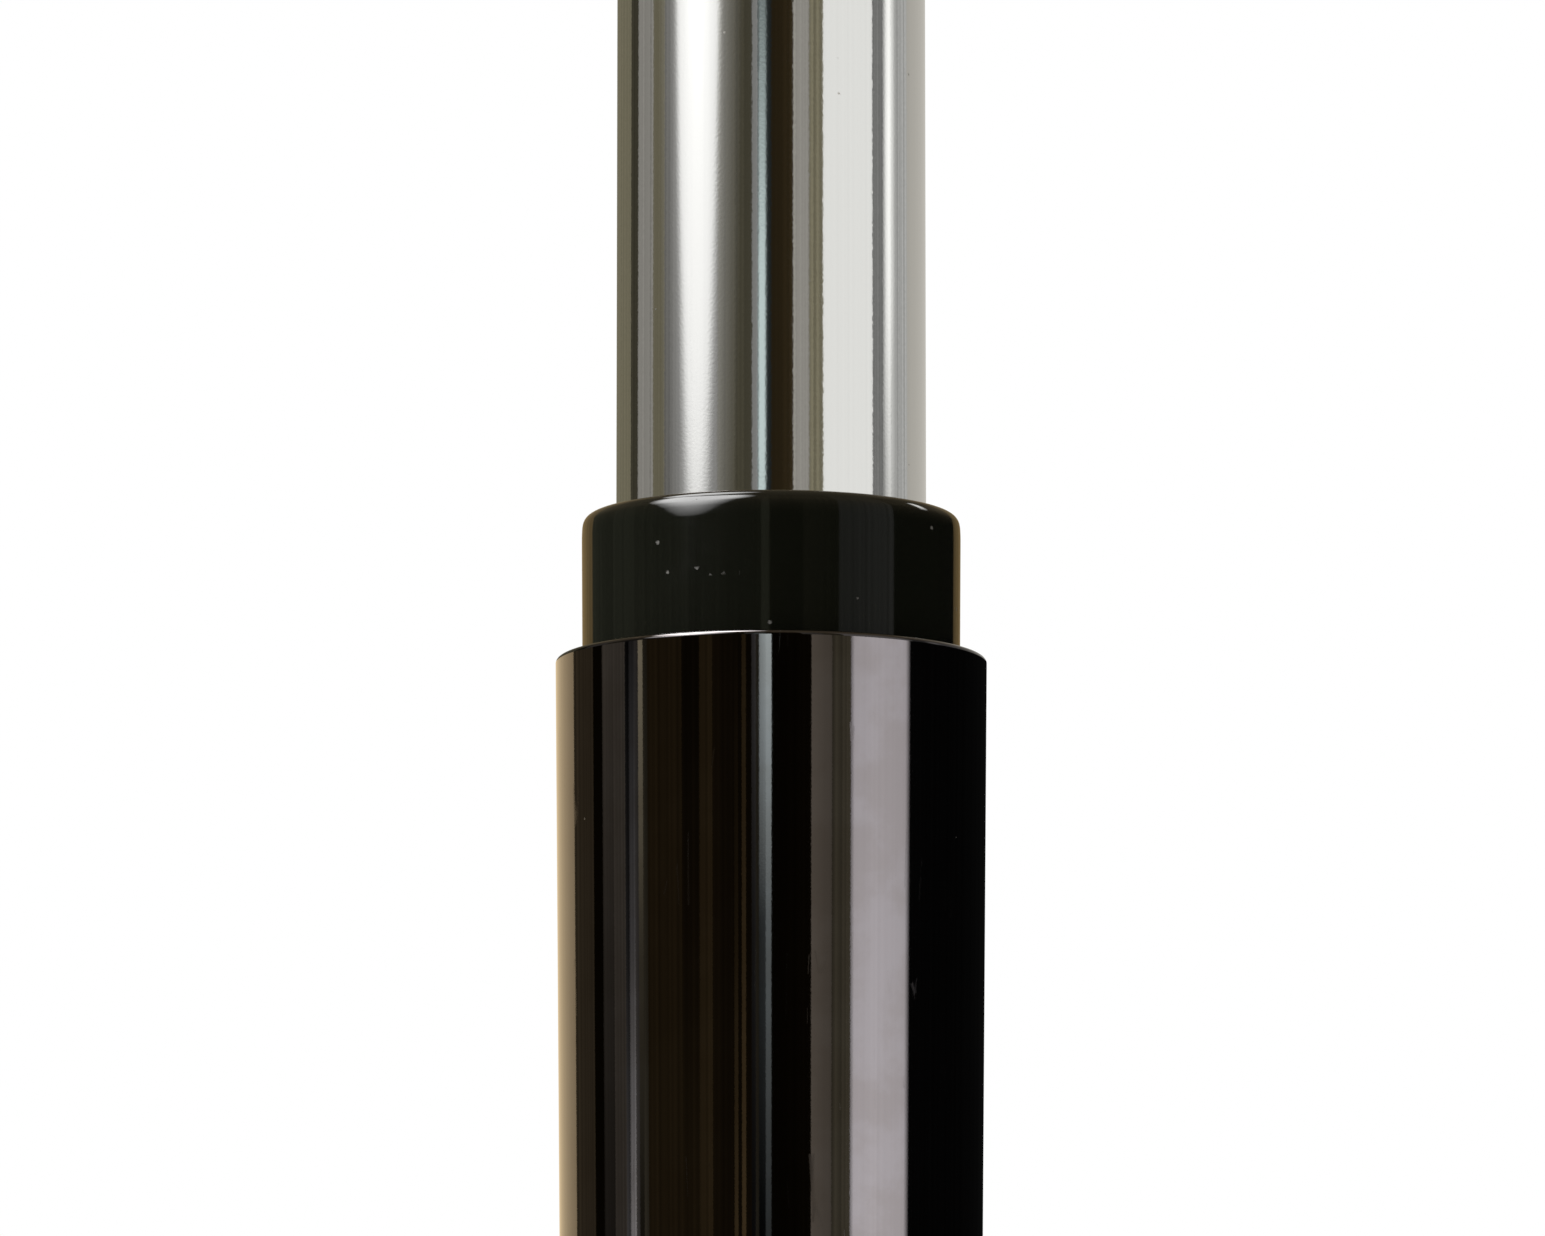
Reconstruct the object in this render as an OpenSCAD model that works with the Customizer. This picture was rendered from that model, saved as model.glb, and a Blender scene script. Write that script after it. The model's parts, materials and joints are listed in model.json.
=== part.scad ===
// Telescopic lift cylinder for a stool, chair or small table.
// A chrome pressure tube slides and turns in a black guide bush at the mouth of a gloss-black stand
// tube. Inside, a rod and piston stand on a ball thrust bearing in the foot of the stand tube, and a
// release button at the top opens the valve that lets oil and gas past the piston.
// Millimetres, +Z up, origin at the centre of the foot. The cylinder is drawn fully raised.

/* [Stand tube] */
// Outer diameter at the mouth
tube_d = 50; // [49:0.5:54]
// Height of the stand tube
tube_len = 245; // [230:1:300]
// Slow taper of the outside, for each side, in degrees
tube_taper = 0.55; // [0.2:0.05:0.6]
// Rounding of the rim at the mouth
rim_round = 0.5; // [0.3:0.1:1.4]

/* [Guide bush] */
// Diameter of the collar that stands out of the mouth
collar_d = 44; // [43:0.5:44]
// Height of the collar above the mouth
collar_h = 16.7; // [10:0.1:24]
// Rounding of the collar's top edge
collar_round = 1.2; // [1:0.1:2.4]
// Length of the bush inside the stand tube
bush_in = 80; // [65:1:90]

/* [Pressure tube] */
// Outer diameter of the chrome tube
chrome_d = 36; // [35:0.1:36]
// Wall of the chrome tube
chrome_wall = 2; // [1.6:0.1:2]
// Travel between fully raised and fully lowered
stroke = 122; // [80:1:130]
// Straight chrome left above the collar when fully lowered
chrome_left = 8.3; // [4:0.1:20]

/* [Seat cone] */
// Largest diameter of the cone that carries the seat
cone_d = 28.5; // [27.5:0.1:29]
// Height of the cone
cone_h = 46; // [44:1:60]
// Slope of the cone, for each side, in degrees
cone_slope = 1.438; // [1:0.001:1.5]

/* [Release button] */
// Diameter of the button
button_d = 12; // [10:0.5:12]
// Travel of the button
button_travel = 3; // [2:0.5:3.5]
// How far the button still stands out when it is pressed
button_left = 3; // [2:0.5:5]

/* [Rod and bearing] */
// Diameter of the piston rod
rod_d = 12; // [10:0.5:12]
// Diameter of the rod's neck through the bearing
neck_d = 8; // [7:0.5:8]
// Number of balls in the thrust bearing
ball_count = 10; // [6:1:10]
// Diameter of a ball
ball_d = 5; // [4:0.5:5]
// Height of the rubber bump stop
bump_h = 12; // [8:1:16]

/* [Hidden] */
$fn = 96;

// Radial gaps: sliding and turning metal, rubber on metal, pressed pieces, washers on a shaft
running = 0.1;
seal_gap = 0.05;
pressed = 0.05;
loose = 0.15;
// Gap at the ends of pieces that only have to clear each other
end_play = 0.1;
chamfer = 0.8;
// How far a cutting tool runs past the face it cuts
past = 1;

// Foot of the stand tube and the cup pressed into it
foot_wall = 2.3;
foot_round = 1;
foot_r = tube_d / 2 - tube_len * tan(tube_taper);
foot_bore_r = foot_r - foot_wall;
lip_h = 1.5;
lip_in = 1.3;
lip_r = foot_bore_r - lip_in;
cup_r = foot_bore_r - pressed;
cup_wall = 2.2;
cup_bend = 1.5;
cup_top = 14;
cup_plate = 3.5;
cup_hole_r = 7;
bore_above_cup = 2;

// Guide bush and the straight seat for it in the mouth of the stand tube
collar_draft = 0.2;
bush_r = collar_d / 2 - collar_draft;
seat_r = bush_r + pressed;
mouth_chamfer = 0.6;
collar_top = tube_len + collar_h;
bush_bottom = tube_len - bush_in;
seat_below_bush = 3;
land_h = 30;
land_relief = 0.5;
wiper_h = 3;
wiper_depth = 3;
wiper_w = 2;
wiper_r = chrome_d / 2 + wiper_w;
wiper_z = collar_top - wiper_depth - wiper_h;

// Thrust bearing, from the plate of the cup upwards
ball_r = ball_d / 2;
pitch_r = 9.5;
race_r = 13;
race_h = 2.5;
race_clear = 2;
groove_r = ball_r + running;
groove_depth = 0.6;
ball_z = cup_top + race_h - groove_depth + ball_r;
upper_race_z = ball_z + ball_r - groove_depth;
shoulder_z = upper_race_z + race_h;
cage_h = 2;
cage_margin = 0.6;

// Rod, its shoulder on the bearing and its fastening under the cup
neck_r = neck_d / 2;
rod_r = rod_d / 2;
rod_end_z = 4.5;
clip_z = 7.5;
clip_h = 1;
clip_r = 7.5;
clip_relief_r = 1.3;
clip_relief_turn = 100;
clip_groove_r = neck_r - 1;
washer_r = 9.5;
washer_h = 1.4;
washer_z = cup_top - cup_plate - washer_h - 3 * end_play;

// Bump stop
bump_inset = 0.5;
bump_r = race_r - bump_inset;
bump_waist = 1.6;
bump_edge = 1.5;
bump_top = shoulder_z + bump_h;

// Chrome tube: its ends, radii and wall
landing_gap = 0.5;
chrome_r = chrome_d / 2;
chrome_bore_r = chrome_r - chrome_wall;
chrome_bottom = bump_top + landing_gap + stroke;
chrome_lip = 3.5;
chrome_lip_r = chrome_bore_r - chrome_lip;
chrome_round = 1;
neck_z = collar_top + chrome_left + stroke;
neck_h = 6;
neck_turn = 72;
bore_below_neck = 1;
cone_z = neck_z + neck_h;
cone_top = cone_z + cone_h;
cone_r = cone_d / 2;
cone_top_r = cone_r - cone_h * tan(cone_slope);
cone_wall = 2;
cone_fillet = 0.8;
curl_r = 2;
mouth_r = 9;

// Stack in the bottom of the chrome tube
plug_r = chrome_bore_r - pressed;
end_washer_h = 2.5;
end_washer_z = chrome_bottom + lip_h;
rod_seal_h = 6;
rod_seal_z = end_washer_z + end_washer_h;
rod_seal_base = 2.5;
rod_guide_h = 14;
rod_guide_z = rod_seal_z + rod_seal_h;
sleeve_r = 12;
sleeve_wall = 1.4;
sleeve_z = rod_guide_z + rod_guide_h;
spigot_r = sleeve_r - pressed;
spigot_h = 4;
guide_top = sleeve_z + spigot_h;
slot_w = 3;
slot_h = 5;

// Piston, just clear of the rod guide
piston_gap = 1;
piston_z = guide_top + piston_gap;
piston_h = 14;
piston_top = piston_z + piston_h;
piston_r = sleeve_r - running;
piston_ring_r = sleeve_r - seal_gap;
band_z = piston_z + 2;
band_h = 4;
band_depth = 1;
piston_oring = 1.25;
piston_groove_z = piston_z + 8;
piston_groove_h = 3;
piston_groove_depth = 2.6;
piston_washer_r = 8;
piston_washer_h = 1.4;
nut_h = 6;
nut_flats = 13;
rod_past_nut = 1.2;
spigot_top = piston_top + piston_washer_h + nut_h + rod_past_nut;

// Rings that seal the rod guide and the valve body against the chrome tube
large_oring = 1.1;
oring_groove_h = 2.8;
oring_floor_r = plug_r - 2 * large_oring;
guide_groove_z = rod_guide_z + 5.6;

// Valve in the top of the chrome tube
flange_z = neck_z - 14;
flange_top = neck_z - 2;
body_groove_z = flange_z + 5;
port_h = 4;
port_z = flange_z - port_h;
port_r = 1.2;
valve_bottom = port_z - 8;
valve_top = neck_z + 24;
valve_neck_r = 10.8;
pin_r = 3;
pin_waist_r = 2.2;
pin_waist_past = 2;
poppet_r = 5.2;
poppet_h = 6;
poppet_bevel = 2;
pocket_r = 5.2;
pocket_z = neck_z + 2;
small_oring = 1.05;
spacer_h = 10;
spacer_z = pocket_z + 2 * small_oring + 2 * end_play;
upper_seal_z = spacer_z + spacer_h + small_oring + end_play;
valve_washer_z = upper_seal_z + small_oring + end_play;
valve_washer_h = 2;

// Button, held in by its flange
button_r = button_d / 2;
button_top = cone_top + button_travel + button_left;
button_crown = 1.2;
button_flange_r = 7.8;
button_flange_h = 3.8;
cap_ceiling = cone_top - 10;
button_flange_z = cap_ceiling - button_flange_h - 2 * end_play;
pin_top = button_flange_z - end_play;

// Colours
black_gloss = "#17130f";
black_plastic = "#14150f";
chrome = "#c9c9c5";
steel = "#9a9c9e";
aluminium = "#b9bcc0";
dark_rubber = "#232323";
nylon = "#d8d4c8";

// Outer radius of the stand tube at a height
function tube_r(z) = tube_d / 2 - (tube_len - z) * tan(tube_taper);

// Points on an arc about a centre, from one angle to another
function arc(centre, r, from, to, steps = 8) =
    [for (i = [0:steps]) let (a = from + (to - from) * i / steps) centre + r * [cos(a), sin(a)]];

// Solid of revolution of an outline in radius and height
module turned(outline) { rotate_extrude() polygon(outline); }

// Plain ring with square edges
module ring(inner, outer, z, h) { rotate_extrude() translate([inner, z]) square([outer - inner, h]); }

// Ring of round section, given its inner radius and the height of its middle
module oring(inner, section, z) { rotate_extrude() translate([inner + section, z]) circle(section); }

// Tapered tube with a turned-in lip at the foot and a straight seat for the bush at the mouth
module stand_tube() {
    color(black_gloss) turned(concat(
        [[lip_r, 0]],
        arc([tube_r(0) - foot_round, foot_round], foot_round, -90, 0),
        arc([tube_d / 2 - rim_round, tube_len - rim_round], rim_round, 0, 90),
        [[seat_r + mouth_chamfer, tube_len], [seat_r, tube_len - mouth_chamfer]],
        [[seat_r, bush_bottom - seat_below_bush], [foot_bore_r, cup_top + bore_above_cup]],
        [[foot_bore_r, lip_h], [lip_r, lip_h]]
    ));
}

// Pressed cup that closes the foot and carries the bearing
module base_cup() {
    inner_r = cup_r - cup_wall;
    plate_z = cup_top - cup_plate;
    color(steel) turned(concat(
        [[inner_r, lip_h], [cup_r, lip_h]],
        arc([cup_r - cup_bend, cup_top - cup_bend], cup_bend, 0, 90),
        [[cup_hole_r, cup_top], [cup_hole_r, plate_z], [inner_r, plate_z]]
    ));
}

// Sleeve with two bearing lands, a relief between them, and the collar that shows
module guide_bush() {
    land_r = chrome_r + running;
    relief_r = land_r + land_relief;
    upper_land = collar_top - land_h;
    lower_land = bush_bottom + land_h;
    wiper_top = wiper_z + wiper_h;
    color(black_plastic) turned(concat(
        [[land_r + chamfer, bush_bottom], [bush_r - chamfer, bush_bottom]],
        [[bush_r, bush_bottom + chamfer], [bush_r, tube_len]],
        arc([collar_d / 2 - collar_round, collar_top - collar_round], collar_round, 0, 90),
        [[land_r + chamfer / 2, collar_top], [land_r, collar_top - chamfer / 2]],
        [[land_r, wiper_top], [wiper_r, wiper_top], [wiper_r, wiper_z], [land_r, wiper_z]],
        [[land_r, upper_land], [relief_r, upper_land - land_relief]],
        [[relief_r, lower_land + land_relief], [land_r, lower_land], [land_r, bush_bottom + chamfer]]
    ));
}

// Rubber ring with one lip on the chrome
module wiper_ring() {
    inner = chrome_r + seal_gap;
    outer = wiper_r - pressed;
    base_z = wiper_z + pressed;
    top_z = wiper_z + wiper_h - pressed;
    color(dark_rubber) turned([
        [inner + chamfer, base_z], [outer, base_z], [outer, top_z], [inner, top_z], [inner, top_z - chamfer]
    ]);
}

// Race that the balls roll in, cut into a flat ring
module race(inner, z) {
    color(steel) difference() {
        ring(inner, race_r, z, race_h);
        oring(pitch_r - groove_r, groove_r, ball_z);
    }
}

module lower_race() { race(neck_r + race_clear, cup_top); }

module upper_race() { race(neck_r + pressed, upper_race_z); }

// Repeats a shape at each ball
module at_balls() {
    for (i = [0:ball_count - 1]) rotate(i * 360 / ball_count) translate([pitch_r, 0, ball_z]) children();
}

module ball_cage() {
    color(nylon) difference() {
        ring(pitch_r - ball_r - cage_margin, pitch_r + ball_r + cage_margin, ball_z - cage_h / 2, cage_h);
        at_balls() cylinder(h = cage_h + 2 * past, r = groove_r, center = true);
    }
}

module bearing_balls() { color(chrome) at_balls() sphere(ball_r); }

// Rubber ring with a waist, which the chrome tube lands on
module bump_stop() {
    inner = rod_r + running;
    color(dark_rubber) turned([
        [inner, shoulder_z], [bump_r, shoulder_z], [bump_r, shoulder_z + bump_edge],
        [bump_r - bump_waist, shoulder_z + bump_h / 2], [bump_r, bump_top - bump_edge],
        [bump_r - bump_edge, bump_top], [inner, bump_top]
    ]);
}

module rod_washer() { color(steel) ring(neck_r + loose, washer_r, washer_z, washer_h); }

// Retaining clip pushed on from the side, with three gripping teeth
module rod_clip() {
    mouth_w = 2 * clip_groove_r - chamfer;
    cut_h = clip_h + 2 * past;
    color(steel) translate([0, 0, clip_z]) difference() {
        cylinder(h = clip_h, r = clip_r);
        translate([0, 0, -past]) cylinder(h = cut_h, r = clip_groove_r + pressed);
        translate([0, -mouth_w / 2, -past]) cube([clip_r + past, mouth_w, cut_h]);
        for (a = [clip_relief_turn, -clip_relief_turn]) rotate(a)
            translate([neck_r, 0, -past]) cylinder(h = cut_h, r = clip_relief_r);
    }
}

// Rod with a neck and clip groove below, and a spigot for the piston above
module piston_rod() {
    groove_z = clip_z - end_play;
    groove_top = clip_z + clip_h + end_play;
    color(chrome) turned([
        [0, rod_end_z], [neck_r - chamfer, rod_end_z], [neck_r, rod_end_z + chamfer],
        [neck_r, groove_z], [clip_groove_r, groove_z], [clip_groove_r, groove_top], [neck_r, groove_top],
        [neck_r, shoulder_z], [rod_r, shoulder_z], [rod_r, piston_z],
        [neck_r, piston_z], [neck_r, spigot_top - chamfer], [neck_r - chamfer, spigot_top], [0, spigot_top]
    ]);
}

// Piston with one groove for the guide ring and one for the seal
module piston() {
    bore = neck_r + pressed;
    band_floor = piston_r - band_depth;
    band_top = band_z + band_h;
    seal_floor = piston_r - piston_groove_depth;
    seal_top = piston_groove_z + piston_groove_h;
    color(aluminium) turned([
        [bore, piston_z], [piston_r - chamfer, piston_z], [piston_r, piston_z + chamfer],
        [piston_r, band_z], [band_floor, band_z], [band_floor, band_top], [piston_r, band_top],
        [piston_r, piston_groove_z], [seal_floor, piston_groove_z],
        [seal_floor, seal_top], [piston_r, seal_top],
        [piston_r, piston_top - chamfer], [piston_r - chamfer, piston_top], [bore, piston_top]
    ]);
}

module piston_guide_ring() {
    inner = piston_r - band_depth + pressed;
    color(nylon) ring(inner, piston_ring_r, band_z + pressed, band_h - 2 * pressed);
}

module piston_seal() {
    mid_z = piston_groove_z + piston_groove_h / 2;
    color(dark_rubber) oring(piston_ring_r - 2 * piston_oring, piston_oring, mid_z);
}

module piston_washer() { color(steel) ring(neck_r + loose, piston_washer_r, piston_top, piston_washer_h); }

module piston_nut() {
    corner_r = nut_flats / 2 / cos(30);
    color(steel) translate([0, 0, piston_top + piston_washer_h]) difference() {
        cylinder(h = nut_h, r = corner_r, $fn = 6);
        translate([0, 0, -past]) cylinder(h = nut_h + 2 * past, r = neck_r + pressed);
    }
}

// Chrome tube, lipped in at the bottom, drawn down to the seat cone and curled in at the top
module pressure_tube() {
    draw_r = neck_h / 2;
    curl_z = cone_top - cone_wall;
    color(chrome) turned(concat(
        [[chrome_lip_r, chrome_bottom]],
        arc([chrome_r - chrome_round, chrome_bottom + chrome_round], chrome_round, -90, 0),
        arc([chrome_r - draw_r, neck_z], draw_r, 0, neck_turn),
        [[cone_r + cone_fillet, cone_z - cone_fillet], [cone_r, cone_z + cone_fillet]],
        arc([cone_top_r - curl_r, cone_top - curl_r], curl_r, 0, 90),
        [[mouth_r, cone_top], [mouth_r, curl_z], [cone_top_r - cone_wall, curl_z]],
        [[cone_r - cone_wall, cone_z], [chrome_bore_r, neck_z - bore_below_neck]],
        [[chrome_bore_r, chrome_bottom + lip_h], [chrome_lip_r, chrome_bottom + lip_h]]
    ));
}

module end_washer() { color(steel) ring(rod_r + 2 * loose, plug_r, end_washer_z, end_washer_h); }

// Lip seal on the rod, with a pressure groove on its upper side
module rod_seal() {
    inner = rod_r + seal_gap;
    top_z = rod_seal_z + rod_seal_h;
    groove_z = rod_seal_z + rod_seal_base;
    wall = 2.5;
    lip = 1;
    color(dark_rubber) turned([
        [inner + lip / 2, rod_seal_z], [plug_r, rod_seal_z], [plug_r, top_z], [plug_r - wall, top_z],
        [plug_r - wall - lip, groove_z], [inner + 2 * lip, groove_z],
        [inner + lip, top_z - lip / 2], [inner, top_z - lip], [inner, groove_z]
    ]);
}

// Plug that guides the rod, grooved for its sealing ring, with a spigot in the inner cylinder
module rod_guide() {
    inner = rod_r + running;
    groove_top = guide_groove_z + oring_groove_h;
    color(aluminium) turned([
        [inner, rod_guide_z], [plug_r, rod_guide_z], [plug_r, guide_groove_z],
        [oring_floor_r, guide_groove_z], [oring_floor_r, groove_top], [plug_r, groove_top],
        [plug_r, sleeve_z], [spigot_r, sleeve_z], [spigot_r, guide_top], [inner, guide_top]
    ]);
}

// Sealing ring in the middle of a groove
module plug_oring(groove_z) {
    mid_z = groove_z + oring_groove_h / 2;
    color(dark_rubber) oring(oring_floor_r, large_oring, mid_z);
}

module guide_oring() { plug_oring(guide_groove_z); }

module body_oring() { plug_oring(body_groove_z); }

// Sleeve that the piston runs in, slotted at the bottom so that oil and gas can pass round it
module inner_cylinder() {
    cut_w = sleeve_wall + 2 * past;
    color(steel) difference() {
        ring(sleeve_r, sleeve_r + sleeve_wall, sleeve_z, port_z - sleeve_z);
        for (a = [0:90:270]) rotate(a)
            translate([sleeve_r - past, -slot_w / 2, guide_top]) cube([cut_w, slot_w, slot_h]);
    }
}

// Valve body: a spigot in the inner cylinder, four cross ports, a sealing flange and a long neck
module valve_body() {
    bore = pin_r + running;
    waist_r = sleeve_r + sleeve_wall;
    groove_top = body_groove_z + oring_groove_h;
    color(aluminium) difference() {
        turned([
            [bore, valve_bottom], [spigot_r, valve_bottom], [spigot_r, port_z],
            [waist_r, port_z], [waist_r, flange_z], [plug_r, flange_z],
            [plug_r, body_groove_z], [oring_floor_r, body_groove_z],
            [oring_floor_r, groove_top], [plug_r, groove_top], [plug_r, flange_top],
            [valve_neck_r, flange_top], [valve_neck_r, valve_top],
            [pocket_r, valve_top], [pocket_r, pocket_z], [bore, pocket_z]
        ]);
        for (a = [45:90:315]) rotate(a) translate([0, 0, port_z + port_h / 2])
            rotate([0, 90, 0]) cylinder(h = waist_r + past, r = port_r);
    }
}

// Small sealing ring on the valve pin
module pin_oring(z) { color(dark_rubber) oring(pin_r + seal_gap, small_oring, z); }

module valve_seal_lower() { pin_oring(pocket_z + small_oring + seal_gap); }

module valve_seal_upper() { pin_oring(upper_seal_z); }

module valve_spacer() { color(nylon) ring(pin_r + loose, pocket_r - pressed, spacer_z, spacer_h); }

module valve_washer() {
    color(steel) ring(pin_r + loose, pocket_r - pressed, valve_washer_z, valve_washer_h);
}

// Bush that guides the button and keeps its flange in
module valve_cap() {
    top_z = cone_top - cone_wall;
    outer = cone_top_r - cone_wall - pressed;
    chamber_r = button_flange_r + running;
    guide_r = button_r + running;
    color(black_plastic) turned([
        [chamber_r, valve_top], [outer, valve_top], [outer, top_z],
        [guide_r, top_z], [guide_r, cap_ceiling], [chamber_r, cap_ceiling]
    ]);
}

// Pin with a poppet that closes against the underside of the valve body
module valve_pin() {
    head_top = valve_bottom - 2 * end_play;
    head_z = head_top - poppet_h;
    waist_top = flange_z + pin_waist_past;
    color(steel) turned([
        [0, head_z], [poppet_r - poppet_bevel, head_z], [poppet_r, head_z + poppet_bevel],
        [poppet_r, head_top - poppet_bevel], [pin_waist_r, head_top], [pin_waist_r, waist_top],
        [pin_r, waist_top + chamfer], [pin_r, pin_top - chamfer], [pin_r - chamfer, pin_top], [0, pin_top]
    ]);
}

// Round button with a crowned edge
module release_button() {
    flange_top_z = button_flange_z + button_flange_h;
    color(steel) turned(concat(
        [[0, button_flange_z], [button_flange_r, button_flange_z]],
        [[button_flange_r, flange_top_z], [button_r, flange_top_z]],
        arc([button_r - button_crown, button_top - button_crown], button_crown, 0, 90),
        [[0, button_top]]
    ));
}

stand_tube();
base_cup();
guide_bush();
wiper_ring();
lower_race();
ball_cage();
bearing_balls();
upper_race();
bump_stop();
rod_washer();
rod_clip();
piston_rod();
piston();
piston_guide_ring();
piston_seal();
piston_washer();
piston_nut();
pressure_tube();
end_washer();
rod_seal();
rod_guide();
guide_oring();
inner_cylinder();
valve_body();
body_oring();
valve_seal_lower();
valve_spacer();
valve_seal_upper();
valve_washer();
valve_cap();
valve_pin();
release_button();
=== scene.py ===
import json
import math

import bmesh
import bpy
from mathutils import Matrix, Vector

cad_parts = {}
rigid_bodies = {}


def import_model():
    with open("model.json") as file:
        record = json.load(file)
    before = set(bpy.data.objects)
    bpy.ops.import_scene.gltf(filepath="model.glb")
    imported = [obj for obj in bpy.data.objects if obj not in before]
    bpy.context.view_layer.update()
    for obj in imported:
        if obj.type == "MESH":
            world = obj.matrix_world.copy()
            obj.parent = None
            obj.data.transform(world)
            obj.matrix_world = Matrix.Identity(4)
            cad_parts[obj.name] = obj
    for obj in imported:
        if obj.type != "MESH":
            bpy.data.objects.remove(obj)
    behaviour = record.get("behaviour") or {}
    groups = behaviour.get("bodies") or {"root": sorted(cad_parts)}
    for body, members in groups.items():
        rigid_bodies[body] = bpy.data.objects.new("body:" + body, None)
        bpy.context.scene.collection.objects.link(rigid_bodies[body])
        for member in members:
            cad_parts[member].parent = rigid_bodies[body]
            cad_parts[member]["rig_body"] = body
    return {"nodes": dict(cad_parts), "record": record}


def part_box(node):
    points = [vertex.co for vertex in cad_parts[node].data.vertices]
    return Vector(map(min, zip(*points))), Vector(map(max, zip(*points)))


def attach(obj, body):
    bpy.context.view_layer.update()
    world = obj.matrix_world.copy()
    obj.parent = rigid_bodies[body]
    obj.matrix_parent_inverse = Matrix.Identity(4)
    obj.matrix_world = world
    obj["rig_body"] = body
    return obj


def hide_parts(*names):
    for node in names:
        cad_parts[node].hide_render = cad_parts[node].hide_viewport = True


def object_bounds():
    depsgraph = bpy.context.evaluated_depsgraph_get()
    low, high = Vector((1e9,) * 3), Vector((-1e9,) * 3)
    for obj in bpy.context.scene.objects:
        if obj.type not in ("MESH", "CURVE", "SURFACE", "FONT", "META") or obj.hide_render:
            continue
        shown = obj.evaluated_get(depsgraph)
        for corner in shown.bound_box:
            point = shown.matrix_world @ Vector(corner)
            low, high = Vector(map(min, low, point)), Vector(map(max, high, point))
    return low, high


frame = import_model()
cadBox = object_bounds()
scene = bpy.context.scene
scene.view_settings.view_transform = "Standard"
mm = 0.001
print("frame loaded:", len(frame["nodes"]), "nodes")


# camera: below the joint, looking up at it through a long lens
photoView = {
    "lens": 253.0,               # lens and sensor in millimetres, as the camera takes them
    "sensor": 36.0,
    "clip": (0.05, 50.0),
    "distance": 1260 * mm,
    "lookUp": 8.4,               # degrees above the horizon
    "aimAboveRim": 4.95 * mm,
    "aimAside": 0.15 * mm,       # the joint stands a little left of the picture's middle
}


def makeCamera(view):
    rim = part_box("stand_tube")[1].z
    aim = Vector((view["aimAside"], 0, rim + view["aimAboveRim"]))
    tilt = math.radians(view["lookUp"])
    data = bpy.data.cameras.new("photoCamera")
    data.lens = view["lens"]
    data.sensor_width = view["sensor"]
    data.clip_start, data.clip_end = view["clip"]
    camera = bpy.data.objects.new("photoCamera", data)
    camera.location = aim - view["distance"] * Vector((0, math.cos(tilt), math.sin(tilt)))
    camera.rotation_euler = (math.radians(90) + tilt, 0, 0)
    scene.collection.objects.link(camera)
    scene.camera = camera


makeCamera(photoView)
print("camera placed")


# small helpers for node trees
def feed(tree, socket, value):
    if isinstance(value, bpy.types.NodeSocket):
        tree.links.new(value, socket)
    else:
        socket.default_value = value


def addNode(tree, kind, fed=None, **values):     # fed: what goes into its sockets, by name or number
    node = tree.nodes.new(kind)
    for key, value in values.items():
        setattr(node, key, value)
    for key, value in (fed or {}).items():
        feed(tree, node.inputs[key], value)
    return node


def mathNode(tree, operation, *values, clamp=False):
    fed = dict(enumerate(values))
    return addNode(tree, "ShaderNodeMath", fed, operation=operation, use_clamp=clamp).outputs[0]


def rampNode(tree, value, low, high):            # 0 at low, 1 at high, smooth between
    fed = {"Value": value, "From Min": low, "From Max": high}
    return addNode(tree, "ShaderNodeMapRange", fed, interpolation_type="SMOOTHSTEP").outputs["Result"]


def noiseNode(tree, vector, scale, detail=2.0, roughness=0.5):
    fed = {"Vector": vector, "Scale": scale, "Detail": detail, "Roughness": roughness}
    return addNode(tree, "ShaderNodeTexNoise", fed).outputs["Fac"]


def stretch(tree, vector, factors):
    return addNode(tree, "ShaderNodeVectorMath", {0: vector, 1: factors}, operation="MULTIPLY").outputs[0]


def mixColour(tree, share, first, second):
    fed = {"Factor": share, 6: first, 7: second}             # 6 and 7 are this node's two colours
    return addNode(tree, "ShaderNodeMix", fed, data_type="RGBA").outputs[2]


def newGroup(name, output, **numbers):           # takes a place and these numbers, and gives one number
    group = bpy.data.node_groups.new(name, "ShaderNodeTree")
    group.interface.new_socket("Place", in_out="INPUT", socket_type="NodeSocketVector")
    for socketName, usual in numbers.items():
        socket = group.interface.new_socket(socketName, in_out="INPUT", socket_type="NodeSocketFloat")
        socket.default_value = usual
    group.interface.new_socket(output, in_out="OUTPUT", socket_type="NodeSocketFloat")
    given = addNode(group, "NodeGroupInput").outputs
    result = addNode(group, "NodeGroupOutput").inputs[output]
    return group, given, result


# shared surface effects
dustSizes = {
    "ripple": 9.0,               # the outline of a speck ripples this much finer than the spacing
    "bend": 0.4 * mm,            # and by up to this
    "edge": 30.0,                # steepness of its edge
}


def buildDust(s):
    group, given, mask = newGroup("dustSpecks", "Mask", Spacing=400.0, Share=0.2, Size=0.12)
    fine = mathNode(group, "MULTIPLY", given["Spacing"], s["ripple"])
    ripple = addNode(group, "ShaderNodeTexNoise", {"Vector": given["Place"], "Scale": fine})
    shift = stretch(group, ripple.outputs["Color"], (s["bend"],) * 3)
    place = addNode(group, "ShaderNodeVectorMath", {0: given["Place"], 1: shift}, operation="ADD").outputs[0]
    cells = addNode(group, "ShaderNodeTexVoronoi", {"Vector": place, "Scale": given["Spacing"]})
    pick = addNode(group, "ShaderNodeSeparateColor", {0: cells.outputs["Color"]})
    chosen = mathNode(group, "LESS_THAN", pick.outputs[0], given["Share"])
    radius = mathNode(group, "MULTIPLY", pick.outputs[1], given["Size"])
    inside = mathNode(group, "SUBTRACT", radius, cells.outputs["Distance"])
    edge = mathNode(group, "MULTIPLY", inside, s["edge"], clamp=True)
    feed(group, mask, mathNode(group, "MULTIPLY", chosen, edge))
    return group


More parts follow.
